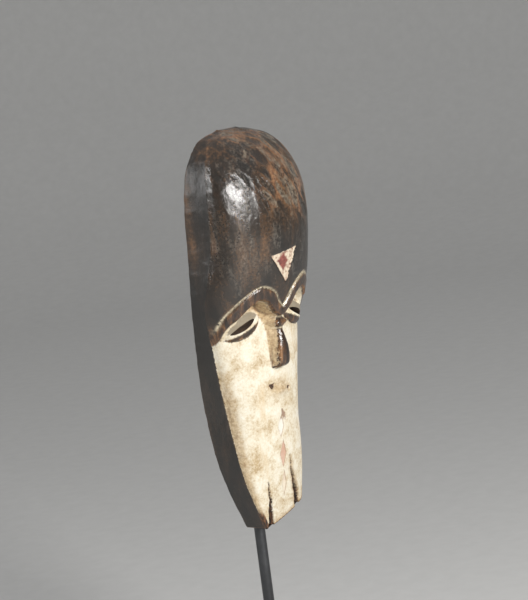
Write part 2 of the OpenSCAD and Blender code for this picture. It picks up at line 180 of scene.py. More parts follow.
# %% [markdown]
# ## Brow, socket and eye
# The brow is a raised band that sweeps from the temple up to a peak and down to the bridge of
# the nose. Above it the forehead stands out; below it the carver cut straight back, which
# leaves a deep socket with a bulging eye in it. Distances to the brow's top line say how far
# each point is above or below it, so the band, its groove and the step below it all follow
# the same sweep.

# %% The brow's sweep
brow_top = line((0, 251.6), (8, 260), (15, 270.5), (26, 277.8), (37, 280), (50.4, 272.5),
                (59.5, 263), (66, 252), (68.8, 238), (71.1, 224.5), (76, 200))
BROW_END = 76
LOPSIDED = 0.055
out_from_nose = np.linspace(0, BROW_END, 4000)
walked = np.stack([out_from_nose, brow_top(out_from_nose)], 1)
length = np.concatenate([[0], np.cumsum(np.hypot(*np.diff(walked, axis=0).T))])
even = np.linspace(0, length[-1], 170)
brow_run = np.stack([np.interp(even, length, walked[:, a]) for a in (0, 1)], 1)


def below_brow(x, z):
    """Distance below the brow's top line, negative above it. One brow sits a little higher."""
    s, level = np.abs(x), z - LOPSIDED * x
    near = np.full(np.broadcast(s, z).shape, FAR)
    for a in brow_run:
        near = np.minimum(near, (s - a[0]) ** 2 + (level - a[1]) ** 2)
    return np.where(level < brow_top(s), 1, -1) * np.sqrt(near)


EYE_X = 42.5
EYE_Z = 237
EYE_SLANT = math.radians(22)
EYE_HALF = (23, 12.5)


def eye_axes(x, z):
    """Along and across each eye, counted from its centre, outer end first."""
    dx = np.abs(x) - EYE_X
    dz = z - EYE_Z
    along = dx * math.cos(EYE_SLANT) - dz * math.sin(EYE_SLANT)
    across = dx * math.sin(EYE_SLANT) + dz * math.cos(EYE_SLANT)
    return along, across


def eye_share(x, z):
    along, across = eye_axes(x, z)
    return np.sqrt((along / EYE_HALF[0]) ** 2 + (across / EYE_HALF[1]) ** 2)


print("brow peak", float(brow_top(39)))

# %% [markdown]
# ## Nose, mouth and the small cuts
# The nose is a long bar that widens downwards, with a narrow ridge, hollowed sides and a
# rounded tip, and a carved ring where it meets the brows. The mouth is only a low mound with
# a nick at each corner. A triangle on the forehead and a chain of lozenges on the chin are
# cut a millimetre or two deep, and two drying cracks run up from the chin.

# %% Heights of the features
nose_ridge = line((186, 6.5), (193, 7.4), (202, 7.6), (212, 6.4), (222, 4.2), (229, 4.0),
                  (235.5, 8.5), (241, 4.6), (248, 5), (256, 5.5))
nose_foot = line((186, 10), (198, 11.7), (213, 12.4), (228, 13.8), (235, 15.5), (244, 20),
                 (256, 26))
nose_rise = line((186, 13), (206, 14), (222, 12), (229, 10.5), (235.5, 14.6), (241, 10.5),
                 (248, 13.5), (256, 10), (266, 4))
NOSE_TIP = 185.5
TIP_ROUND = 7


def down_nose_wall(s, z):
    """0 on the nose's ridge, 1 at the foot of its side wall."""
    return np.clip((s - nose_ridge(z)) / (nose_foot(z) - nose_ridge(z)), 0, 1)


def nose(x, z):
    """How far the nose stands out of the face at x, z."""
    s = np.abs(x)
    wall = (1 - down_nose_wall(s, z)) ** 1.7
    crest = 1 - 0.14 * np.clip(s / nose_ridge(z), 0, 1) ** 2
    up = np.clip((z - NOSE_TIP + 0.004 * x * x) / TIP_ROUND, 0, 1)
    tip = bulge(1 - up)
    return nose_rise(z) * wall * crest * tip * (1 - ease(252, 268, z))


TRIANGLE = ((-24.5, 311), (15.5, 316), (0.5, 279))
LOZENGE = ((-14.5, 304.5), (-4.5, 291.5), (2, 303), (-5, 312))
CHIN_CUTS = ((2.7, 132.7, 3.2, 8, 24), (-2.5, 121, 4.8, 12.5, -6), (-1.2, 90, 5.2, 15, -4),
             (-1.4, 57, 3.6, 14, -3))
CRACKS = (((-22.6, 12), (-23.1, 26), (-23.3, 44), (-25.7, 63)),
          ((21.8, 22), (20, 40), (16.2, 55), (12, 69), (10.2, 86)))
CRACK_WIDTH = ((7.4, 6.4, 3.2, 0.5), (8, 8.6, 5.6, 2.8, 0.5))


def inside_polygon(x, z, corners):
    """Signed millimetres inside a convex outline."""
    near = np.full(np.shape(x), FAR)
    mid = np.mean(corners, axis=0)
    for a, b in zip(corners, corners[1:] + corners[:1]):
        nx, nz = b[1] - a[1], a[0] - b[0]
        size = math.hypot(nx, nz)
        if (mid[0] - a[0]) * nx + (mid[1] - a[1]) * nz < 0:
            size = -size
        near = np.minimum(near, ((x - a[0]) * nx + (z - a[1]) * nz) / size)
    return near


def inside_cuts(x, z):
    """Signed millimetres inside the nearest lozenge of the chin's chain."""
    best = np.full(np.shape(x), -FAR)
    for cx, cz, half_w, half_h, turn in CHIN_CUTS:
        t = math.radians(turn)
        dx, dz = x - cx, z - cz
        u = np.abs(dx * math.cos(t) + dz * math.sin(t)) / half_w
        v = np.abs(dz * math.cos(t) - dx * math.sin(t)) / half_h
        best = np.maximum(best, (1 - u - v) * half_w)
    return best


def in_cracks(x, z, wander=0.7):
    """Signed millimetres inside the two cracks, which taper upwards and wander a little."""
    best = np.full(np.shape(x), -FAR)
    for run, widths in zip(CRACKS, CRACK_WIDTH):
        zs = [p[1] for p in run]
        mid = np.interp(z, zs, [p[0] for p in run]) + wander * np.sin(0.55 * z) * np.cos(0.21 * z)
        half = np.interp(z, zs, widths) / 2
        best = np.maximum(best, np.where(z < zs[-1], half - np.abs(x - mid), -FAR))
    return best


MOUTH_NICKS = ((-12.6, 168, 5.2), (14.5, 161, 4.2))
NICK_DEPTH = 3.2


def nick(x, z, cx, cz, half):
    """Millimetres inside one triangular nick, flat above and pointed below."""
    return np.minimum(cz + 1.2 - z, half - np.abs(x - cx) * 1.1 - (cz - z) * 0.9)


def mouth(x, z):
    """The lips' low mound, less the line between them and the nicks at its corners."""
    mound = 2.2 * spot(x, z, (0, 160), (13, 6))
    off_lips = z - 166.5 - 0.012 * x * x + 0.22 * x
    groove = np.exp(-((x / 14) ** 2) ** 2 - (off_lips / 1.3) ** 2)
    nicks = sum(NICK_DEPTH * ease(-0.4, 1.6, nick(x, z, *n)) for n in MOUTH_NICKS)
    return mound - groove - nicks


print("nose stands", round(float(nose(0, 206)), 1), "mm out of the face")

# %% [markdown]
# ## Tool marks and chance
# A hand-carved surface is never even. Two kinds of chance are enough for it: soft lumps, which
# bend an edge or a flat a little, and cells with a hollow middle and a raised border, which are
# what a curved adze leaves behind. Both come from fixed seeds, so every run carves the same mask.

# %% Lumps and adze strokes
CELLS = 24
ALL_POSITIVE = 100


def lumps(p, size, seed):
    """Smooth random values from -1 to 1 that change over size millimetres."""
    table = np.random.default_rng(seed).random((CELLS, CELLS, CELLS))
    q = p / size + ALL_POSITIVE
    i = np.floor(q).astype(int)
    s = (q - i) ** 2 * (3 - 2 * (q - i))
    total = 0
    for corner in np.ndindex(2, 2, 2):
        c = np.array(corner)
        j = np.moveaxis((i + c) % CELLS, -1, 0)
        total = total + np.prod(np.where(c, s, 1 - s), -1) * table[tuple(j)]
    return 2 * total - 1


def strokes(p, size, seed):
    """Height of the ridge between adze strokes, 0 to 1, and each stroke's own tone."""
    draw = np.random.default_rng(seed)
    jitter, tones = draw.random((CELLS, CELLS, CELLS, 3)), draw.random((CELLS, CELLS, CELLS))
    q = p / np.array(size) + ALL_POSITIVE
    i = np.floor(q).astype(int)
    first, second = np.full(q.shape[:-1], FAR), np.full(q.shape[:-1], FAR)
    tone = np.zeros(q.shape[:-1])
    for near in np.ndindex(3, 3, 3):
        j = i + np.array(near) - 1
        k = tuple(np.moveaxis(j % CELLS, -1, 0))
        d = np.linalg.norm(j + jitter[k] - q, axis=-1)
        tone = np.where(d < first, tones[k], tone)
        second = np.where(d < first, first, np.minimum(second, d))
        first = np.minimum(first, d)
    return 1 - ease(0, 0.42, second - first), tone


def adze_marks(p):
    """Strokes slant over the forehead and the crown."""
    x, f, z = np.moveaxis(p, -1, 0)
    slanted = np.stack([x + 0.42 * z, f + 0.3 * z, z], -1)
    ridge, tone = strokes(slanted, (12, 12, 27), 5)
    share = ease(320, 372, z + 0.25 * x) * (0.55 + 0.45 * ease(-45, -5, x))
    return ridge, tone, share


print("lump at the origin:", round(float(lumps(np.zeros((1, 3)), 20, 1)[0]), 3))

# %% [markdown]
# ## The front, all together
# Above the brows the forehead's depth counts, below them the face's. The change from one to
# the other is the step under the brow, squeezed into a few millimetres below the band. Then
# the raised details go on top, and the cuts are taken away.

# %% Depth of the front
band_width = line((0, 9), (18, 11), (33, 13.5), (48, 12), (55, 11), (60, 7.2), (63.5, 4.8),
                  (67, 3.4), (BROW_END, 3.2))
ABOVE_NOSE = 300
SOCKET_DEPTH, EYE_STANDS, LID_GROOVE = 5, 5.6, 0.9
BAND_STANDS, BAND_GROOVE = 1.9, 0.9
TRIANGLE_DEPTH, CHIN_CUT_DEPTH, CRACK_DEPTH = 1.5, 1.1, 8


def merged(a, b, reach):
    """The higher of two surfaces, with a fillet where they meet."""
    h = np.clip(reach - np.abs(a - b), 0, None) / np.maximum(reach, 1e-6)
    return np.maximum(a, b) + h * h * reach / 4


def front(x, z, cut=True):
    """How far forward the carved front stands at x, z."""
    half = edge_half(z)
    s = np.minimum(np.abs(x), half)
    out = bulge(s / half)
    flat = side_front(z)
    d = below_brow(np.clip(x, -half, half), z)
    band = band_width(s)
    eye = eye_share(x, z)
    hollow = SOCKET_DEPTH * spot(s, z, (30, 254), (17, 15))
    face = flat + (face_line(z) - flat) * out - hollow * out
    face = face + EYE_STANDS * bulge(eye) - LID_GROOVE * peak(eye - 1.08, 0.12)
    brow = flat + (brow_line(z) - flat) * out
    deep = ease(band - 1, band + 4.5, d)
    depth = face * deep + brow * (1 - deep)
    on_band = ease(-0.4, 1.6, d) - ease(band - 1.5, band + 0.5, d)
    depth = depth + BAND_STANDS * on_band * ease(BROW_END, 66, s)
    depth = depth - BAND_GROOVE * peak(d + 0.9, 0.8) * ease(72, 60, s)
    rise = nose(x, z)
    depth = np.where(z < ABOVE_NOSE, merged(depth, face + rise, np.minimum(5, rise)), depth)
    depth = depth + mouth(x, z)
    if cut:
        depth = depth - TRIANGLE_DEPTH * ease(-0.5, 0.7, inside_polygon(x, z, TRIANGLE))
        depth = depth - CHIN_CUT_DEPTH * ease(-0.5, 0.8, inside_cuts(x, z))
        depth = depth - CRACK_DEPTH * ease(-0.7, 1.2, in_cracks(x, z))
    return depth


over_step, under_step = (float(front(np.array(40.0), np.array(at))) for at in (272.0, 262.0))
print("step under the brow", round(over_step - under_step, 1))

# %% [markdown]
# ## A grid wrapped round the block
# One grid is wrapped round the whole carving: up the left side wall, over the front, down the
# right side wall and across the back. Its rows are the heights, closer together where the
# outline turns. Wrapping keeps the faces in long even strips, so the carved lines stay clean.

# %% Wrap a grid into a closed skin
def spread(weight, count):
    """Heights of the rows, close together where weight is large."""
    z = np.linspace(0, HEIGHT, 10 * HEIGHT + 1)
    run = np.concatenate([[0], np.cumsum(weight(z)[1:] * np.diff(z))])
    return np.interp(np.linspace(0, run[-1], count), run, z)


def wrap(points):
    """A closed bmesh through rows of points, each row a closed loop."""
    rows, columns = points.shape[:2]
    bm = bmesh.new()
    bmesh.ops.create_grid(bm, x_segments=columns, y_segments=rows - 1, size=1)
    for v in bm.verts:
        i = round((v.co.x + 1) / 2 * columns) % columns
        j = round((v.co.y + 1) / 2 * (rows - 1))
        v.co = points[j, i]
    bmesh.ops.remove_doubles(bm, verts=bm.verts, dist=1e-6)
    ends = [e for e in bm.edges if e.is_boundary]
    bmesh.ops.holes_fill(bm, edges=ends, sides=0)
    bmesh.ops.recalc_face_normals(bm, faces=bm.faces)
    if bm.calc_volume(signed=True) < 0:
        bmesh.ops.reverse_faces(bm, faces=bm.faces)
    return bm


def round_off(x, f, columns, reach, times):
    """Softens the corners of every row near the given columns."""
    for _ in range(times):
        for c in columns:
            j = np.arange(c - reach, c + reach + 1)
            for line_of in (x, f):
                line_of[:, j] = (line_of[:, j - 1] + 2 * line_of[:, j] + line_of[:, j + 1]) / 4


def everything(bm):
    return bm.verts[:] + bm.edges[:] + bm.faces[:]


def in_scene(name, data):
    thing = bpy.data.objects.new(name, data)
    bpy.context.scene.collection.objects.link(thing)
    return thing


def mesh_in_scene(bm, name):
    mesh = bpy.data.meshes.new(name)
    bm.to_mesh(mesh)
    bm.free()
    return in_scene(name, mesh)


def with_modifiers(piece):
    """A new mesh that holds what the piece's modifiers make."""
    bpy.context.view_layer.update()
    done = piece.evaluated_get(bpy.context.evaluated_depsgraph_get())
    return bpy.data.meshes.new_from_object(done)


def finish_mesh(bm, name, body, stands_for=()):
    """Turns a bmesh into a piece that rides with a body of the frame."""
    piece = mesh_in_scene(bm, name)
    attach(piece, body)
    if stands_for:
        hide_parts(*stands_for)
    return piece


print("rows climb", len(spread(np.ones_like, 5)), "steps in a short trial")

# %% The outside of the mask
FRONT, SIDE, BACK, ROWS = 160, 12, 16, 322


def outline_weight(z):
    turn = np.hypot(np.gradient(rim_half(z), z), np.gradient(brow_line(z), z))
    return np.hypot(turn, 1) * (1 + 0.35 * (ease(180, 200, z) - ease(288, 310, z)))


heights = spread(outline_weight, ROWS)[:, None]
wall_run = (1 - np.cos(np.linspace(0, math.pi, SIDE + 1))) / 2
arc = -np.cos(np.linspace(0, math.pi, FRONT + 1))
edge, rim = edge_half(heights), rim_half(heights)
back_f, edge_f = rim_back(heights), side_front(heights)
wall_x = rim + (edge - rim) * wall_run[:-1]
wall_f = back_f + (edge_f - back_f) * wall_run[:-1]
front_x = edge * arc
front_f = front(front_x, heights * np.ones_like(arc))
back_x = rim * np.cos(np.linspace(0, math.pi, BACK + 1))[:-1]
x = np.hstack([-wall_x, front_x[:, :-1], edge + (rim - edge) * wall_run[:-1], back_x])
far_wall_f = edge_f + (back_f - edge_f) * wall_run[:-1]
f = np.hstack([wall_f, front_f[:, :-1], far_wall_f, back_f + 0 * back_x])
z = heights + 0 * x
round_off(x, f, (SIDE, SIDE + FRONT), 5, 10)
round_off(x, f, (0, 2 * SIDE + FRONT), 1, 2)
print("loops of", x.shape[1], "points on", x.shape[0], "rows")

# %% [markdown]
# ## The carver's hand
# The smooth loops are now roughened along their own normals: long slanting adze strokes over
# the forehead and crown, low waves everywhere, and coarser chops on the side walls and the
# back rim. Moving points along the normal works on the steep top too, where moving them
# forward would only slide them over the surface.

# %% Roughen the skin
p = np.stack([x, f, z], -1)
across = np.roll(p, -1, 1) - np.roll(p, 1, 1)
upward = np.gradient(p, axis=0)
outward = np.cross(upward, across)
outward /= np.linalg.norm(outward, axis=-1, keepdims=True) + 1e-9
middle = np.stack([0 * z, 0 * z + 15, z], -1)
outward *= np.sign(np.sum(outward * (p - middle), -1, keepdims=True))
ridge, tone, share = adze_marks(p)
on_wall = np.zeros(x.shape)
on_wall[:, :SIDE - 2] = 1
on_wall[:, SIDE + FRONT + 2:] = 1
BROW_REACH = 72
forehead = ease(-4, 6, -below_brow(np.clip(x, -BROW_REACH, BROW_REACH), z))
chops = strokes(p + lumps(p, 25, 3)[..., None] * 3, (14, 14, 20), 8)[0]
swell = 0.85 * (ridge - 0.35) * share * (1 - on_wall * 0.4)
swell += 0.35 * lumps(p, 34, 11) * (0.35 + 0.65 * forehead)
swell += 0.16 * lumps(p * (1, 1, 0.35), 7, 12)
swell += 0.35 * (chops - 0.3) * on_wall
swell += 0.3 * lumps(p, 16, 13) * ease(405, 430, z)
from_eye = sum(np.abs(way) for way in eye_axes(x, z))
calm = ease(1, 5, np.abs(in_cracks(x, z))) * ease(16, 22, from_eye)
p = p + outward * (swell * np.where(f > 10, 0.25 + 0.75 * calm, 1))[..., None]
print("roughened by", round(float(np.abs(swell).max()), 2), "mm at most")

# %% [markdown]
# ## Chin, hollow and eye slits
# The chin is sawn off on a slant with a bisecting plane. The hollow is a second wrapped grid, a
# wall's thickness inside the first and flared towards the rim, and each eye slit is a lens
# pushed right through. A Boolean takes all three away at once, as the gouge did.

# %% Outer body with its slanting chin
body = wrap(place(*np.moveaxis(p, -1, 0)))
SAW_X, SAW_Z = -27.6, 11.9
SAW_SLOPE = math.radians(16)
saw_at = place(np.array(SAW_X), np.array(0.0), np.array(SAW_Z))
saw = to_stand.to_3x3() @ Vector((math.sin(SAW_SLOPE), 0, -math.cos(SAW_SLOPE)))
bmesh.ops.bisect_plane(body, geom=everything(body), plane_co=Vector(saw_at), plane_no=saw,
                       dist=1e-7, clear_outer=True)
bmesh.ops.holes_fill(body, edges=[e for e in body.edges if e.is_boundary], sides=0)
chin = [g for g in body.faces if g.normal.dot(saw) > 0.99 and len(g.verts) > 20]
bmesh.ops.inset_region(body, faces=chin, thickness=2.5 * MM, use_even_offset=True)
corner = {v for g in chin for e in g.edges for v in e.verts}
ring = {e.other_vert(v) for v in corner for e in v.link_edges} - corner
ALL_WAYS = {"use_axis_x": True, "use_axis_y": True, "use_axis_z": True}
bmesh.ops.smooth_vert(body, verts=list(ring), factor=0.5, **ALL_WAYS)
print("outer body:", len(body.faces), "faces, chin cut faces", len(chin))
mask = finish_mesh(body, "carved_mask", "mask", ["mask_shell"])

# %% The hollow and the two slits
WALL = 9
PAST_RIM = -8
low_z, high_z = 0.062 * HEIGHT, HEIGHT - 2 * WALL
levels = np.linspace(0, 1, 110)
levels = (low_z + (high_z - low_z) * (1 - (1 - levels) ** 1.4))[:, None]
inner = edge_half(levels) - WALL
lip = inner + 0.6 * draw_in(levels)
arc = -np.cos(np.linspace(0, math.pi, 91))
nearest = WALL * (1 - ease(0.70, 0.85, levels / HEIGHT))
share_x = np.abs(arc) * edge_half(levels)


def plain(at):
    """Front depth without the nose and eyes, for the inside of the wall."""
    flat = side_front(at)
    d = below_brow(np.sign(arc) * share_x, at * np.ones_like(arc))
    k = ease(8, 15, d)
    deep = face_line(at) * k + brow_line(at) * (1 - k)
    socket = 6 * k * spot(share_x, at, (31, 252), (17, 17))
    return flat + (deep - flat) * bulge(np.abs(arc)) - socket


inside_f = np.minimum.reduce([plain(levels + way) for way in (-nearest, 0, nearest)]) - WALL
hx = np.hstack([-lip, inner * arc, lip, np.array([0.5, 0, -0.5]) * lip])
open_f = 0 * lip + PAST_RIM
hf = np.hstack([open_f, inside_f, open_f, open_f, open_f, open_f])
hz = levels + 0 * hx
h = np.stack([hx, hf, hz], -1)
gouge = strokes(h + lumps(h, 30, 21)[..., None] * 4, (17, 17, 26), 22)[0]
gouged = hf[:, 1:-4]
gouged -= 1.1 * gouge[:, 1:-4] * (gouged > 6)
hollow = wrap(place(hx, hf, hz))

SLIT_HALF, SLIT_OPEN, SLIT_OUT, SLIT_TURN = 17, 3.4, 4, math.radians(20)
SLIT_FROM, SLIT_LENGTH = 0.015, 0.04
eye_f = float(front(np.array(EYE_X), np.array(EYE_Z)))
for side in (-1, 1):
    turn = Matrix.Rotation(SLIT_TURN * side, 4, "Z") @ Matrix.Rotation(side * EYE_SLANT, 4, "Y")
    at = Matrix.Translation((side * (EYE_X + SLIT_OUT) * MM, -eye_f * MM, EYE_Z * MM))
    slit = bmesh.ops.create_circle(hollow, cap_ends=True, segments=40, radius=1)["verts"]
    for v in slit:
        a, b = v.co.x, v.co.y
        v.co = (a * SLIT_HALF * MM, SLIT_FROM, math.copysign(abs(b) ** 1.4, b) * SLIT_OPEN * MM)
    disc = {g for v in slit for g in v.link_faces}
    pushed = bmesh.ops.extrude_face_region(hollow, geom=list(disc), use_keep_orig=True)["geom"]
    far_end = [v for v in pushed if isinstance(v, bmesh.types.BMVert)]
    bmesh.ops.translate(hollow, verts=far_end, vec=(0, -SLIT_LENGTH, 0))
    bmesh.ops.transform(hollow, matrix=to_stand @ at @ turn, verts=slit + far_end)
bmesh.ops.recalc_face_normals(hollow, faces=hollow.faces)
cutter = mesh_in_scene(hollow, "cutter")
cut = mask.modifiers.new("hollow", "BOOLEAN")
cut.operation, cut.object, cut.solver = "DIFFERENCE", cutter, "MANIFOLD"
carved = with_modifiers(mask)
mask.modifiers.clear()
mask.data = carved
bpy.data.objects.remove(cutter)
triangles = sum(len(g.vertices) - 2 for g in carved.polygons)
print("carved mask:", len(carved.vertices), "points,", triangles, "triangles")

# %% [markdown]
# ## What each point of the surface is
# The finishes follow the carving: clay on the face, lacquer on brows and nose, red in the
# forehead's triangle. Every point of the mesh therefore carries a few numbers worked out from
# its place, mostly millimetres inside a painted patch. The material reads these and breaks
# their edges with noise, so paint ends in a worn line and not in a ruled one.

# %% Numbers on the surface
def in_array(owner, field, count):
    """One of Blender's own fields as rows of x, y, z."""
    values = np.zeros(count * 3)
    owner.foreach_get(field, values)
    return values.reshape(-1, 3)


def add_layer(name, domain, values):
    layer = mask.data.attributes.new(name, "FLOAT", domain)
    layer.data.foreach_set("value", values.astype(np.float32))


SLIT_REACH = (19, 4.6)


def hidden(x, f, z):
    """1 inside the hollow and on the walls of the eye slits, 0 on the outside."""
    s = np.abs(x)
    inner = edge_half(z) - WALL + 0.36 * draw_in(z)
    to_front = np.clip((side_front(z) - f) / np.maximum(side_depth(z), 1), 0, 1)
    outer = edge_half(z) + draw_in(z) * to_front
    along, over = eye_axes(x, z)
    slit = (np.abs(along - 3) < SLIT_REACH[0]) * (np.abs(over) < SLIT_REACH[1])
    slit = slit * (front(x, z, False) - f > 0.5)
    return np.maximum((front(x, z) - f > WALL / 2) * (s < (inner + outer) / 2), slit) * 1.0


points = len(mask.data.vertices)
mx, mf, mz = in_mask(in_array(mask.data.vertices, "co", points))
at = np.stack([mx, mf, mz], -1)
s = np.abs(mx)
half = edge_half(mz)
d = below_brow(np.clip(mx, -BROW_REACH, BROW_REACH), mz)
band = band_width(s)
eye = eye_share(mx, mz)
over = eye_axes(mx, mz)[1]
smooth_front = front(mx, mz, False)
sunk = smooth_front - mf
inside = hidden(mx, mf, mz)
outside = inside < 1
from_edge = half + 1 - s
on_front = np.where(s > half - 3, np.minimum(from_edge, mf - side_front(mz) + 1.2), from_edge)

ridge_half, foot_half = nose_ridge(mz), nose_foot(mz)
above_tip = mz - NOSE_TIP
nose_brown = least(ridge_half + 2.2 - np.abs(mx - 1.5), above_tip - 1.5, 258 - mz)
tip_brown = np.minimum(foot_half - 0.5 - s, 1.4 - np.abs(above_tip - 1.6))
lid_brown = np.minimum((1.06 - eye) * 12, -over - 3.7)
brow_brown = least(d + 0.4, band + 0.2 - d, on_front + 0.5)
brown = np.maximum(np.maximum(brow_brown, lid_brown), np.maximum(nose_brown, tip_brown))
lid_edge = peak(eye - 1.0, 0.06) * ease(-3, 2, over)
lid_edge = lid_edge + peak(over + 3.6, 0.7) * ease(0.98, 0.85, eye)
nose_rings = (peak(mz - 241.5, 0.9) + peak(mz - 229.5, 0.9)) * (s < ridge_half + 4)
# The pale line in the groove over the brow is a painted highlight along its edge.
brow_highlight = 0.9 * peak(d + 1.0, 0.9 + 0.7 * (mx > 0)) * ease(0.5, 4, on_front)

above_saw = (mz - SAW_Z) * math.cos(SAW_SLOPE) - (mx - SAW_X) * math.sin(SAW_SLOPE)
crack = in_cracks(mx, mz)
down_wall = down_nose_wall(s, mz)
# Tan ochre stain on the nose sides, lips, lower edges, far crack and sawn chin. The spot in the
# socket under the brow is painted shade in that recess.
ochre_and_shade = spot(s, mz, (27, 257), (12, 12)) * (eye > 1.0)
on_nose_wall = (down_wall > 0) * (down_wall < 0.97)
ochre_and_shade = ochre_and_shade + on_nose_wall * ease(184, 190, mz) * ease(262, 250, mz) * 0.9
ochre_and_shade = ochre_and_shade + 0.75 * spot(mx, mz, (0, 162), (17, 8))
ochre_and_shade = ochre_and_shade + 0.8 * ease(7, 1, on_front) * ease(215, 150, mz)
ochre_and_shade = ochre_and_shade + 0.7 * ease(6, 0, -crack) * (mx > 0) + 0.9 * ease(6, 1, above_saw)

# Cavity: how far a point lies below the mean of its neighbours, positive in hollows.
beside = ((2.5, 0), (-2.5, 0), (0, 2.5), (0, -2.5))
cavity = sum(front(mx + a, mz + b, False) for a, b in beside) / len(beside)
on_skin = (np.abs(front(mx, mz) - mf) < 2.5) * (half - s > 4)
cavity = np.clip(cavity - smooth_front, -3, 3) * on_skin
# Darker: raw wood in the cracks and nicks, which also paints the shade in their depth; the near
# lower corner and the sawn chin edge; and painted shade in every hollow that cavity finds.
grime_and_shade = (crack > -1.6) * ease(0.3, 1.2, sunk) * (mz < 90)
grime_and_shade = grime_and_shade + sum(ease(-0.5, 0.8, nick(mx, mz, *n)) for n in MOUTH_NICKS)
grime_and_shade = grime_and_shade + ease(6, 2.5, on_front) * ease(-4, -1, on_front) * ease(40, 24, mz) * (mx < 0)
grime_and_shade = grime_and_shade + ease(2.2, 0.5, above_saw) * 0.9 + 0.35 * cavity * (cavity > 0)
ridge, tone, share = adze_marks(at)
corner_wear = peak(np.maximum(half - s, side_front(mz) - mf), 2.4)
corner_wear = corner_wear * (0.5 + 0.5 * lumps(at, 14, 41))
worn = ridge * share * 0.9 + 0.8 * corner_wear + 0.5 * peak(mf - rim_back(mz), 2.2)
worn = worn + 0.45 * np.clip(-cavity, 0, 2)
numbers = {
    "clay": least(d - band, on_front, np.where(outside, 5.0, -5)),
    "brown": brown,
    "grey_lid": np.minimum((0.93 - eye) * 12, over - 1.5),
    "pale": np.maximum(np.maximum(lid_edge, 0.8 * nose_rings), brow_highlight) * outside,
    "ochre_and_shade": np.clip(ochre_and_shade, 0, 1),
    "triangle": inside_polygon(mx, mz, TRIANGLE) * outside - 9.0 * inside,
    "lozenge": inside_polygon(mx, mz, LOZENGE),
    "chin_cut": inside_cuts(mx, mz) - 9 * inside,
    "grime_and_shade": np.clip(grime_and_shade, 0, 1) * outside,
    "worn": np.clip(worn, 0, 1),
    "stroke": tone * share,
    "edge": on_front,
    "height": mz / HEIGHT,
}
for name, values in numbers.items():
    add_layer(name, "POINT", values)
centres = in_array(mask.data.polygons, "center", len(mask.data.polygons))
add_layer("inside", "FACE", hidden(*in_mask(centres)))
print("numbers on", points, "points:", ", ".join(numbers))

# %% [markdown]
# ## Building finishes from nodes
# Every finish below is a small net of nodes: noise that is stretched along the grain, colour
# ramps that turn noise into colours, and masks that lay one colour over another. A few short
# helpers keep each finish readable, one line to a layer.

# %% Helpers for finishes
class Finish:
    """A material and the few kinds of node that the finishes use."""

    def __init__(self, name, **shader):
        self.material = bpy.data.materials.new(name)
        self.material.use_nodes = True
        self.tree = self.material.node_tree
        self.shader = self.tree.nodes["Principled BSDF"]
        for socket, value in shader.items():
            self.shader.inputs[socket.replace("_", " ")].default_value = value
        self.place = self.tree.nodes.new("ShaderNodeTexCoord").outputs["Object"]

    def node(self, kind, settings=(), **inputs):
        made = self.tree.nodes.new("ShaderNode" + kind)
        for setting, value in dict(settings).items():
            setattr(made, setting, value)
        for socket, value in inputs.items():
            at = int(socket[1:]) if socket[1:].isdigit() else socket.replace("_", " ")
            target = made.inputs[at]
            if isinstance(value, bpy.types.NodeSocket):
                self.tree.links.new(value, target)
            else:
                target.default_value = value
        return made

    def stretched(self, x, y, z, turn=(0, 0, 0)):
        return self.node("Mapping", Vector=self.place, Scale=(x, y, z), Rotation=turn).outputs[0]

    def noise(self, scale, detail=4.0, rough=0.55, at=None, bend=0.0):
        made = self.node("TexNoise", Scale=scale, Detail=detail, Roughness=rough, Distortion=bend,
                         Vector=at or self.place)
        return made.outputs["Fac"]

    def number(self, name):
        return self.node("Attribute", {"attribute_name": name}).outputs["Fac"]

    def math(self, kind, a, b=0.0):
        return self.node("Math", {"operation": kind}, _0=a, _1=b).outputs[0]

    def times(self, a, b):
        return self.math("MULTIPLY", a, b)

    def plus(self, a, b):
        return self.math("ADD", a, b)

    def mixed(self, a, share_a, b, share_b):
        """A weighted sum of two values."""
        return self.plus(self.times(a, share_a), self.times(b, share_b))

    def above(self, value, low, high):
        """0 below low, 1 above high, smooth between."""
        made = self.node("MapRange", {"interpolation_type": "SMOOTHSTEP"}, Value=value)
        made.inputs["From Min"].default_value = low
        made.inputs["From Max"].default_value = high
        return made.outputs["Result"]

    def over(self, under, top, share, strength=None):
        """Lays a colour over another by a share, which a strength can weaken."""
        if strength:
            share = self.times(share, strength)
        if isinstance(top, tuple):
            top = (*top, 1)
        return self.node("Mix", {"data_type": "RGBA"}, _0=share, _6=under, _7=top).outputs[2]

    def blend(self, a, b, share):
        made = self.node("Mix", {"data_type": "FLOAT"}, _0=share, _2=a, _3=b)
        return made.outputs[0]

    def ramp(self, value, *stops):
        made = self.node("ValToRGB", Fac=value)
        steps = made.color_ramp.elements
        while len(steps) < len(stops):
            steps.new(0.5)
        for step, (at, colour) in zip(steps, stops):
            step.position = at
            step.color = (*colour, 1)
        return made.outputs["Color"]

    def bump(self, height, depth, under=None):
        made = self.node("Bump", Height=height, Strength=1.0, Distance=depth)
        if under:
            self.tree.links.new(under, made.inputs["Normal"])
        return made.outputs["Normal"]

    def done(self, colour, rough=None, normal=None):
        for socket, value in (("Base Color", colour), ("Roughness", rough), ("Normal", normal)):
            if value is not None:
                self.tree.links.new(value, self.shader.inputs[socket])
        return self.material


def shaded(piece, material, angle=35):
    """Smooth faces with sharp edges past an angle, and one material."""
    for polygon in piece.data.polygons:
        polygon.use_smooth = True
    piece.data.set_sharp_from_angle(angle=math.radians(angle))
    piece.data.materials.clear()
    piece.data.materials.append(material)
    return piece


print("helpers ready")

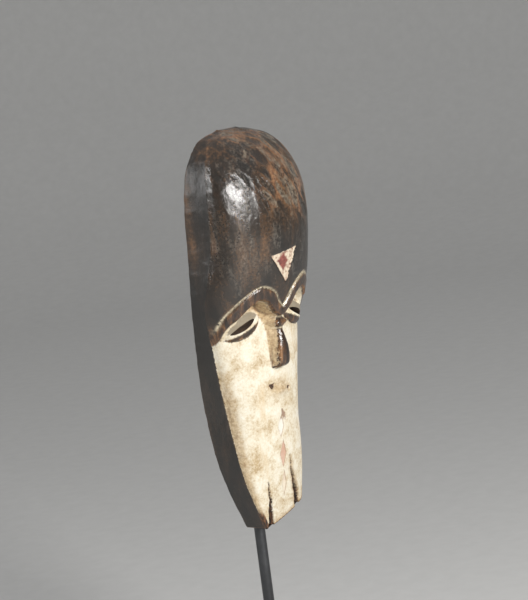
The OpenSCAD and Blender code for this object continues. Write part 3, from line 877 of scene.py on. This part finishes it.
# %% [markdown]
# ## The mask's finish
# Years of handling have polished the stained crown to a near-black lacquer, worn through to
# orange-brown on every ridge. The clay was rubbed on thickly and has gone cream and ochre, with
# fine grains in it. All of it is one material, because it is one piece of wood, and the numbers
# on the surface say which layer lies where. Part of the colour is painted shade: in the socket
# under the brow, in the cracks and hollows, and partly on the side walls. The pale line along
# the brow's top is a painted highlight.

# %% Wood under the finish
wood = Finish("lacquer_and_clay", Specular_IOR_Level=0.9)
grain_at = wood.stretched(1, 1, 0.16)
streak_at = wood.stretched(1, 1, 0.22)
ragged = wood.times(wood.math("SUBTRACT", wood.noise(260, 5, 0.7), 0.5), 5.0)
broad = wood.noise(34, 5, 0.6, streak_at, 0.3)
fine = wood.noise(330, 6, 0.72)
grain = wood.noise(420, 5, 0.65, grain_at, 0.4)
worn = wood.number("worn")
wall = wood.above(wood.times(wood.number("edge"), -1.0), 0.0, 1.5)


def edged(name, low=-0.4, high=0.5):
    """A painted patch with a worn edge."""
    return wood.above(wood.plus(wood.number(name), ragged), low, high)


print("grains of the wood ready")

# %% Lacquer
stained = wood.plus(wood.mixed(broad, 0.7, fine, 0.3), wood.times(worn, 0.10))
# The side walls are shifted a little darker: stain, and partly painted shade.
stained = wood.math("SUBTRACT", stained, wood.times(wall, 0.05))
dark = wood.ramp(stained, (0.40, (0.010, 0.008, 0.006)), (0.50, (0.026, 0.017, 0.011)),
                 (0.57, (0.066, 0.036, 0.018)), (0.64, (0.150, 0.075, 0.033)),
                 (0.76, (0.240, 0.140, 0.075)))
film = wood.above(wood.noise(55, 6, 0.7, streak_at), 0.48, 0.64)
film = wood.times(film, wood.above(fine, 0.40, 0.62))
film = wood.times(film, wood.math("SUBTRACT", 1.0, wall))
dark = wood.over(dark, (0.150, 0.134, 0.112), film, 0.6)
leaf = wood.above(wood.number("stroke"), 0.62, 0.72)
leaf = wood.times(leaf, wood.above(wood.noise(190, 5, 0.7), 0.38, 0.56))
leaf_tone = wood.ramp(fine, (0.38, (0.105, 0.080, 0.055)), (0.60, (0.215, 0.180, 0.135)))
dark = wood.over(dark, leaf_tone, leaf, 0.85)
rubbed = wood.above(wood.noise(70, 6, 0.7, streak_at), 0.46, 0.62)
rubbed = wood.times(wood.above(worn, 0.40, 1.0), rubbed)
rubbed_tone = wood.ramp(fine, (0.40, (0.130, 0.045, 0.018)), (0.60, (0.300, 0.160, 0.080)))
dark = wood.over(dark, rubbed_tone, rubbed, 0.85)
dark = wood.over(dark, (0.008, 0.006, 0.005), wood.above(wood.noise(700, 3, 0.6), 0.60, 0.68), 0.7)
print("lacquer ready")

# %% Clay and the painted details
clay_tone = wood.mixed(wood.noise(60, 6, 0.65), 0.6, wood.noise(420, 5, 0.7), 0.4)
clay = wood.ramp(clay_tone, (0.36, (0.40, 0.29, 0.16)), (0.44, (0.58, 0.48, 0.33)),
                 (0.52, (0.70, 0.635, 0.50)), (0.64, (0.78, 0.745, 0.65)))
stain = wood.above(wood.noise(26, 5, 0.7, streak_at), 0.55, 0.70)
clay = wood.over(clay, (0.58, 0.42, 0.22), stain, 0.55)
specks = wood.above(wood.noise(900, 3, 0.6), 0.66, 0.74)
clay = wood.over(clay, (0.20, 0.13, 0.07), specks, 0.6)
colour = wood.over(dark, clay, edged("clay"))
# Tan over the clay: ochre stain, and painted shade in the socket under the brow.
ochre_and_shade = wood.ramp(wood.noise(240, 5, 0.7), (0.40, (0.30, 0.19, 0.09)), (0.60, (0.56, 0.42, 0.24)))
colour = wood.over(colour, ochre_and_shade, wood.number("ochre_and_shade"), wood.above(wood.number("clay"), -1, 1))
polished = wood.mixed(wood.noise(150, 5, 0.65, streak_at), 1.0, worn, 0.15)
polished = wood.ramp(polished, (0.42, (0.018, 0.010, 0.006)), (0.56, (0.065, 0.033, 0.017)),
                     (0.74, (0.27, 0.13, 0.05)))
brown_patch = edged("brown")
colour = wood.over(colour, polished, brown_patch)
colour = wood.over(colour, (0.185, 0.15, 0.10), edged("grey_lid"), 0.85)
# Pale lines: cream on the lid edges and the nose rings, and a painted highlight along the brow's
# top groove.
colour = wood.over(colour, (0.70, 0.60, 0.42), wood.number("pale"), wood.above(fine, 0.34, 0.55))
border = wood.ramp(wood.noise(300, 5, 0.7), (0.36, (0.22, 0.10, 0.07)),
                   (0.45, (0.52, 0.38, 0.28)), (0.56, (0.70, 0.60, 0.46)))
colour = wood.over(colour, border, edged("triangle", -0.2, 0.4))
red = wood.ramp(fine, (0.40, (0.13, 0.030, 0.024)), (0.60, (0.28, 0.078, 0.058)))
colour = wood.over(colour, red, edged("lozenge", -1.0, 1.4), edged("triangle"))
up_chin = wood.number("height")
cut_tone = wood.ramp(up_chin, (0.13, (0.70, 0.62, 0.50)), (0.18, (0.56, 0.34, 0.25)),
                     (0.23, (0.50, 0.27, 0.19)), (0.26, (0.76, 0.73, 0.67)),
                     (0.295, (0.74, 0.70, 0.63)))
cut_tone = wood.over(cut_tone, (0.22, 0.11, 0.07), wood.above(up_chin, 0.288, 0.296))
colour = wood.over(colour, cut_tone, edged("chin_cut"), 0.8)
outline = wood.math("ABSOLUTE", wood.plus(wood.number("chin_cut"), wood.times(ragged, 0.3)))
colour = wood.over(colour, (0.27, 0.16, 0.09), wood.above(outline, 0.7, 0.1), 0.6)
# Dark raw-wood colour in the cracks, nicks and along the chin, with painted shade in the hollows.
grime_and_shade = wood.above(wood.plus(wood.number("grime_and_shade"), wood.times(ragged, 0.12)), 0.25, 0.9)
fibres = wood.ramp(wood.noise(500, 4, 0.6, grain_at), (0.4, (0.015, 0.009, 0.006)),
                   (0.62, (0.17, 0.075, 0.03)))
colour = wood.over(colour, fibres, grime_and_shade)
raw = wood.ramp(wood.noise(90, 6, 0.6, grain_at, 0.5), (0.35, (0.030, 0.018, 0.011)),
                (0.60, (0.105, 0.060, 0.032)), (0.80, (0.20, 0.125, 0.07)))
hollowed = wood.above(wood.number("inside"), 0.3, 0.7)
colour = wood.over(colour, raw, hollowed)
print("colours of the mask ready")

# %% Gloss and relief of the mask
matt = wood.math("MAXIMUM", wood.math("SUBTRACT", edged("clay"), brown_patch), hollowed)
sheen = wood.plus(wood.plus(wood.times(fine, 0.30), 0.03), wood.times(wall, 0.15))
rough = wood.blend(sheen, 0.9, matt)
height = wood.blend(wood.mixed(grain, 0.5, fine, 0.5),
                    wood.plus(clay_tone, wood.times(specks, -0.3)), matt)
shaded(mask, wood.done(colour, rough, wood.bump(height, 0.0007)), 50)
print("lacquer and clay:", len(wood.tree.nodes), "nodes")

# %% [markdown]
# ## Steel parts with soft edges
# A bar from the workshop has its edges broken with a file, and that thin rounded line is what
# catches the light. The frame's own parts have knife edges, so each steel part is shown by a
# copy: its points are merged, its flat triangles dissolved into whole faces, and every sharp
# edge is given a small bevel. The new faces are marked, so that a finish can be worn on them.

# %% Soften a part of the frame
def copy_of(node):
    """A bmesh of a frame part, with its points merged and its flats made whole."""
    bm = bmesh.new()
    bm.from_mesh(frame["nodes"][node].data)
    bmesh.ops.remove_doubles(bm, verts=bm.verts, dist=2e-6)
    bmesh.ops.dissolve_limit(bm, angle_limit=math.radians(1.5), verts=bm.verts, edges=bm.edges)
    return bm


def break_edges(bm, width, segments=2, sharper_than=32):
    """Bevels every sharp edge and marks the new faces as rounded."""
    mark = bm.faces.layers.float.get("rounded") or bm.faces.layers.float.new("rounded")
    limit = math.radians(sharper_than)
    sharp = [e for e in bm.edges if e.is_manifold and e.calc_face_angle() > limit]
    made = bmesh.ops.bevel(bm, geom=sharp, affect="EDGES", offset=width * MM, offset_type="OFFSET",
                           segments=segments, profile=0.5, clamp_overlap=True, material=-1)
    for g in made["faces"]:
        g[mark] = 1
    return bm


def hex_socket(bm, face, across, depth):
    """Sinks a six-sided socket in the middle of a round face."""
    middle, out = face.calc_center_median(), face.normal.copy()
    side = (face.verts[0].co - middle).normalized()
    bmesh.ops.inset_individual(bm, faces=[face], thickness=0.3 * MM, use_even_offset=True)
    for v in face.verts:
        arm = v.co - middle
        turn = math.atan2(arm.dot(out.cross(side)), arm.dot(side))
        reach = across / 2 * MM / math.cos((turn % (math.pi / 3)) - math.pi / 6)
        v.co = middle + arm.normalized() * reach
    sunk = bmesh.ops.extrude_discrete_faces(bm, faces=[face])["faces"]
    bmesh.ops.translate(bm, verts=sunk[0].verts, vec=-out * depth * MM)


print("frame parts that can be softened:", len(frame["nodes"]) - 1)

# %% [markdown]
# ## Finishes of the mount
# The bars, hub, post and socket are steel blackened and waxed: dark, a little blue-grey, with
# faint drawn lines along their length. Screws, nuts, the stud and the ballast are bare steel
# with turning marks. The block is painted satin black, thin enough for the wood's pores to
# show. Felt is a mat of short fibres, so it gets a soft sheen and a tangled bump.

# %% Steel
def along_axis(finish, axis, stretched, plain):
    scale = [plain] * 3
    scale[axis] = stretched
    return finish.stretched(*scale)


def blackened(name, axis, base=0.085):
    """Waxed black steel with drawn lines along one axis."""
    steel = Finish(name, Metallic=0.85)
    lines = steel.noise(1500, 4, 0.6, along_axis(steel, axis, 0.03, 1.0))
    cloud = steel.noise(38, 5, 0.6)
    low, high = (0.72, 0.74, 0.78), (1.2, 1.24, 1.3)
    tone = steel.ramp(cloud, (0.35, [base * a for a in low]), (0.65, [base * a for a in high]))
    rub = steel.times(steel.number("rounded"), steel.above(steel.noise(120, 5, 0.7), 0.46, 0.62))
    tone = steel.over(tone, (0.17, 0.165, 0.16), rub, 0.55)
    specks = steel.above(steel.noise(800, 3, 0.6), 0.66, 0.72)
    tone = steel.over(tone, (0.10, 0.085, 0.07), specks, 0.4)
    rough = steel.plus(steel.mixed(cloud, 0.22, lines, 0.16), 0.20)
    height = steel.mixed(lines, 0.7, steel.noise(260, 4, 0.6), 0.5)
    return steel.done(tone, rough, steel.bump(height, 0.00006))


def bare(name, axis):
    """Turned or ground steel with marks across one axis."""
    steel = Finish(name, Metallic=1.0)
    marks = steel.noise(2600, 3, 0.6, along_axis(steel, axis, 1.0, 0.04))
    cloud = steel.noise(90, 5, 0.65)
    tone = steel.ramp(cloud, (0.32, (0.36, 0.355, 0.345)), (0.68, (0.56, 0.56, 0.555)))
    dull = steel.above(steel.noise(210, 5, 0.7), 0.56, 0.70)
    tone = steel.over(tone, (0.24, 0.215, 0.185), dull, 0.5)
    tone = steel.over(tone, (0.72, 0.72, 0.71), steel.number("rounded"), 0.5)
    return steel.done(tone, steel.mixed(marks, 0.20, cloud, 0.24), steel.bump(marks, 0.00005))


ACROSS, BACKWARD, UPRIGHT = 0, 1, 2
drawn_up = blackened("blackened_steel_upright", UPRIGHT)
drawn_across = blackened("blackened_steel_level", ACROSS)
turned_up = bare("bare_steel_upright", UPRIGHT)
turned_back = bare("bare_steel_level", BACKWARD)
print("steel finishes:", drawn_up.name, drawn_across.name, turned_up.name, turned_back.name)

# %% Paint, felt and rubber
paint = Finish("satin_black_paint", Coat_Weight=0.25, Coat_Roughness=0.3)
pores = paint.above(paint.noise(900, 4, 0.65, paint.stretched(1, 0.05, 1)), 0.56, 0.68)
bands = paint.noise(60, 5, 0.6, paint.stretched(1, 0.12, 1), 0.6)
tone = paint.ramp(bands, (0.35, (0.0135, 0.0125, 0.012)), (0.65, (0.026, 0.024, 0.0225)))
tone = paint.over(tone, (0.006, 0.0055, 0.005), pores)
chipped = paint.times(paint.number("rounded"), paint.above(paint.noise(75, 6, 0.72), 0.53, 0.60))
tone = paint.over(tone, (0.135, 0.075, 0.040), chipped, 0.75)
dust = paint.above(paint.noise(420, 5, 0.75), 0.60, 0.74)
tone = paint.over(tone, (0.11, 0.105, 0.10), dust, 0.22)
paint_rough = paint.plus(paint.times(paint.noise(130, 5, 0.65), 0.30), 0.24)
paint_height = paint.math("SUBTRACT", paint.times(bands, 0.4), pores)
satin = paint.done(tone, paint_rough, paint.bump(paint_height, 0.00016))

wool = Finish("felt", Roughness=0.95, Sheen_Weight=0.6, Sheen_Roughness=0.4)
tangle = wool.noise(1100, 6, 0.75, bend=2.2)
tufts = wool.noise(230, 5, 0.7, bend=1.0)
tone = wool.ramp(tangle, (0.34, (0.010, 0.010, 0.011)), (0.52, (0.026, 0.026, 0.028)),
                 (0.72, (0.085, 0.083, 0.080)))
lint = wool.above(wool.noise(520, 3, 0.6, wool.stretched(1, 0.2, 1, (0.4, 0.3, 0.9))), 0.69, 0.74)
tone = wool.over(tone, (0.20, 0.19, 0.18), lint, 0.6)
felt_height = wool.plus(wool.times(tangle, 0.6), tufts)
felt_finish = wool.done(tone, None, wool.bump(felt_height, 0.0007))

gum = Finish("black_rubber", Roughness=0.62)
bloom = gum.noise(70, 6, 0.7)
tone = gum.ramp(bloom, (0.35, (0.014, 0.014, 0.014)), (0.70, (0.040, 0.039, 0.037)))
tone = gum.over(tone, (0.09, 0.085, 0.08), gum.above(gum.noise(600, 4, 0.7), 0.60, 0.72), 0.4)
gum_rough = gum.plus(gum.times(bloom, 0.3), 0.45)
rubber = gum.done(tone, gum_rough, gum.bump(gum.noise(1400, 4, 0.6), 0.00008))
print("finishes of the mount ready")

# %% [markdown]
# ## Base, socket and post
# The block stands on a sheet of felt and holds a socket tube for the post. Its upright edges
# are already round, so only the top and bottom edges need easing. The screws get the six-sided
# sockets that a hex key turns.

# %% Base and post
def steel_part(node, body, slot, width, material, **more):
    bm = break_edges(copy_of(node), width, **more)
    return shaded(finish_mesh(bm, node + "_finished", body, [node]), material)


def screw_part(node, body, material, head_area, across, depth, width):
    """Softens screws and sinks a hex socket in every head, found by its area in square mm."""
    bm = copy_of(node)
    heads = [g for g in bm.faces
             if len(g.verts) > 12 and abs(g.calc_area() / MM**2 / head_area - 1) < 0.06]
    for face in heads:
        hex_socket(bm, face, across, depth)
    break_edges(bm, width)
    print(node, "heads:", len(heads))
    return shaded(finish_mesh(bm, node + "_finished", body, [node]), material)


WOOD_SCREW = {"head_area": math.pi * 4**2, "across": 2.6, "depth": 1.4, "width": 0.15}
steel_part("base_block", "stand", "painted_wood", 1.6, satin, segments=4)
steel_part("socket_tube", "stand", "black_steel", 0.6, drawn_up, segments=3)
steel_part("post", "post", "black_steel", 0.5, drawn_up)
steel_part("ballast_plate", "stand", "bare_steel", 0.5, turned_up)
screw_part("ballast_screws", "stand", turned_up, **WOOD_SCREW)
screw_part("flange_screws", "stand", turned_up, **WOOD_SCREW)
steel_part("clamp_screw", "clamp", "bare_steel", 0.45, turned_back)
steel_part("chin_sleeve", "post", "rubber", 0.7, rubber, segments=4)

# %% [markdown]
# ## The cradle inside the hollow
# The hub turns on the post's spigot. A spine runs up from it to an arm under the crown and a
# cross bar between the temples. Bars, hub and nuts are softened copies again. The stud is a
# real screw, so its thread is wound here: rings of points whose radius follows a ridge that
# climbs one pitch in each turn.

# %% Hub, bars and screws
steel_part("hub", "head", "black_steel", 0.6, drawn_up, segments=3)
steel_part("spine", "head", "black_steel", 0.5, drawn_up)
steel_part("crown_arm", "head", "black_steel", 0.5, drawn_up)
steel_part("cross_bar", "head", "black_steel", 0.5, drawn_across)
steel_part("hub_grub_screw", "head", "bare_steel", 0.2, turned_back)
steel_part("crown_nuts", "head", "bare_steel", 0.4, turned_up)
CAP_SCREW = {"head_area": math.pi * 3.5**2, "across": 3.0, "depth": 2.0, "width": 0.35}
screw_part("bar_screws", "head", turned_back, **CAP_SCREW)

# %% The threaded stud
STUD_R, PITCH, TOOTH_DEPTH, INTO_PAD = 2.5, 0.8, 0.42, 2.4
AROUND, STEPS_PER_TURN = 32, 6
plate = break_edges(copy_of("crown_stud"), 0.35)
stud_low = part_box("crown_stud")[0]
near_foot = [v.co for v in frame["nodes"]["crown_stud"].data.vertices
             if v.co.z < stud_low.z + 1 * MM]
foot = sum(near_foot, Vector()) / len(near_foot)
up_stud = to_stand.to_3x3() @ Vector((0, 0, 1))
stud_length = (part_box("crown_pad")[0] - foot).dot(up_stud) / MM - INTO_PAD
climb = np.arange(0.2, stud_length, PITCH / STEPS_PER_TURN)[:, None]
angle = np.linspace(0, 2 * math.pi, AROUND + 1)[None, :-1]
tooth = np.abs(((climb / PITCH - angle / (2 * math.pi)) % 1) * 2 - 1)
radius = STUD_R + 0.02 - TOOTH_DEPTH * tooth
radius = radius * (1 - 0.25 * ease(1.2, 0, climb))
spots = np.stack([radius * np.cos(angle), radius * np.sin(angle), climb + 0 * angle], -1) * MM
thread = wrap(spots @ np.array(to_stand.to_3x3()).T + np.array(foot))
shaded(finish_mesh(thread, "stud_thread", "head"), turned_up, 60)
shaded(finish_mesh(plate, "crown_stud_finished", "head", ["crown_stud"]), turned_up)
print("thread turns:", round(stud_length / PITCH, 1))

# %% [markdown]
# ## Felt
# The pads that touch the wood are cut from thick felt. Felt has no hard edge: it swells a
# little between its faces and its cut sides bulge. Each pad is remeshed into small even faces,
# its edges are smoothed until they are round, and its surface is given soft lumps.

# %% Felt pads
def felt_part(node, body, voxel, rounds, depth):
    """A felt piece: even small faces, rounded edges and a lumpy surface."""
    rough_cut = mesh_in_scene(copy_of(node), node + "_cut")
    remesh = rough_cut.modifiers.new("even", "REMESH")
    remesh.mode, remesh.voxel_size = "VOXEL", voxel * MM
    remade = with_modifiers(rough_cut)
    bpy.data.objects.remove(rough_cut)
    bm = bmesh.new()
    bm.from_mesh(remade)
    for _ in range(rounds):
        bmesh.ops.smooth_vert(bm, verts=bm.verts, factor=0.5, **ALL_WAYS)
    bm.normal_update()
    at = np.array([v.co for v in bm.verts]) / MM
    push = depth * (lumps(at, 3.1, 51) + 0.6 * lumps(at, 1.3, 52) - 0.9)
    for v, amount in zip(list(bm.verts), push):
        v.co = v.co + v.normal * float(amount) * MM
    piece = shaded(finish_mesh(bm, node + "_felt", body, [node]), felt_finish, 180)
    print(node, len(piece.data.polygons), "faces")


for pad in ("crown_pad", "left_temple_pad", "right_temple_pad"):
    felt_part(pad, "head", 0.6, 4, 0.16)

# %% Felt under the block
CUT_EVERY, EDGE = 0.004, 0.002
sheet = break_edges(copy_of("base_felt"), 0.7, segments=3)
low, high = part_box("base_felt")
for axis in (0, 1):
    for cut_at in np.arange(low[axis] + 0.003, high[axis] - EDGE, CUT_EVERY):
        where, facing = [0, 0, 0], [0, 0, 0]
        where[axis], facing[axis] = cut_at, 1
        bmesh.ops.bisect_plane(sheet, geom=everything(sheet), plane_co=where,
                               plane_no=facing, dist=1e-7)
wave = lumps(np.array([v.co for v in sheet.verts]) / MM, 6, 61) * 0.35 - 0.3
for v, amount in zip(list(sheet.verts), wave):
    for axis in (0, 1):
        if abs(v.co[axis]) > high[axis] - EDGE:
            v.co[axis] += math.copysign(amount * MM, v.co[axis])
under = finish_mesh(sheet, "base_felt_sheet", "stand", ["base_felt"])
shaded(under, felt_finish, 60)
print("felt sheet:", len(under.data.polygons), "faces")

# %% [markdown]
# ## Camera, floor and light
# The mask is seen from its right and a little above, through a long lens, as a catalogue would
# show it. One soft light in front of it gives the lacquer its highlight, a small weak one
# behind on the left puts a glint on the rim, and a pale floor and an even sky fill the shadows.

# %% Camera
CAMERA_AWAY = 2.4
AIM_HEIGHT = 0.220
OFF_AXIS = (25, 31, 2222)
turned, raised, roll = math.radians(-50), math.radians(12), math.radians(3.6)
back = Vector((math.sin(turned) * math.cos(raised), -math.cos(turned) * math.cos(raised),
               math.sin(raised)))
right = Vector((math.cos(turned), math.sin(turned), 0))
up = back.cross(right)
right, up = (right * math.cos(roll) - up * math.sin(roll),
             right * math.sin(roll) + up * math.cos(roll))
leaned = to_stand.to_3x3()
back, right, up = leaned @ back, leaned @ right, leaned @ up
aim = to_stand @ Vector((0, 0, AIM_HEIGHT))
lens = bpy.data.cameras.new("camera")
lens.lens, lens.sensor_width, lens.clip_end = 133.3, 36, 100
lens.sensor_fit = "AUTO"
camera = in_scene("camera", lens)
view = (-back * OFF_AXIS[2] + right * OFF_AXIS[0] + up * OFF_AXIS[1]).normalized()
side = view.cross(up).normalized()
axes = Matrix((side, side.cross(view), -view)).transposed()
camera.matrix_world = Matrix.Translation(aim + back * CAMERA_AWAY) @ axes.to_4x4()
bpy.context.scene.camera = camera
print("camera at", [round(v, 3) for v in camera.location])

# %% Lights
def soft_light(name, at, size, power, colour=(1, 1, 1)):
    """A rectangular light that faces the mask."""
    lamp = bpy.data.lights.new(name, "AREA")
    lamp.shape, lamp.size, lamp.size_y = "RECTANGLE", size[0], size[1]
    lamp.energy, lamp.color = power, colour
    stand = in_scene(name, lamp)
    stand.location = at
    stand.rotation_euler = (aim - Vector(at)).to_track_quat("-Z", "Y").to_euler()


soft_light("key", (-0.60, -2.00, 1.10), (0.70, 0.46), 54, (1.0, 0.985, 0.96))
soft_light("left_edge", (-1.85, 1.0, 1.30), (0.35, 0.3), 12)
print("lights:", len(bpy.data.lights))

# %% Floor and sky
COVE = ((0, 0), (1.5, 0), (3.2, 0), (3.9, 0.12), (4.4, 0.45), (4.7, 1.0), (4.8, 3.0))
bm = bmesh.new()
profile = [bm.verts.new((r, 0, rise)) for r, rise in COVE]
joined = [bm.edges.new(pair) for pair in zip(profile, profile[1:])]
bmesh.ops.spin(bm, geom=profile + joined, cent=(0, 0, 0), axis=(0, 0, 1),
               angle=2 * math.pi, steps=64, use_merge=True)
bmesh.ops.remove_doubles(bm, verts=bm.verts, dist=1e-5)
bmesh.ops.recalc_face_normals(bm, faces=bm.faces)
for g in bm.faces:
    g.smooth = True
floor = mesh_in_scene(bm, "floor")
paper = Finish("floor_paper", Roughness=0.9)
paper_tone = paper.ramp(paper.noise(40, 4), (0.3, (0.60, 0.60, 0.59)), (0.7, (0.63, 0.63, 0.62)))
floor.data.materials.append(paper.done(paper_tone))
sky = bpy.data.worlds.new("soft_sky")
sky.use_nodes = True
light_of_sky = sky.node_tree.nodes["Background"].inputs
light_of_sky["Color"].default_value = (0.84, 0.84, 0.85, 1)
light_of_sky["Strength"].default_value = 0.45
bpy.context.scene.world = sky
bpy.context.scene.view_settings.view_transform = "Standard"
print("floor:", len(floor.data.polygons), "faces")
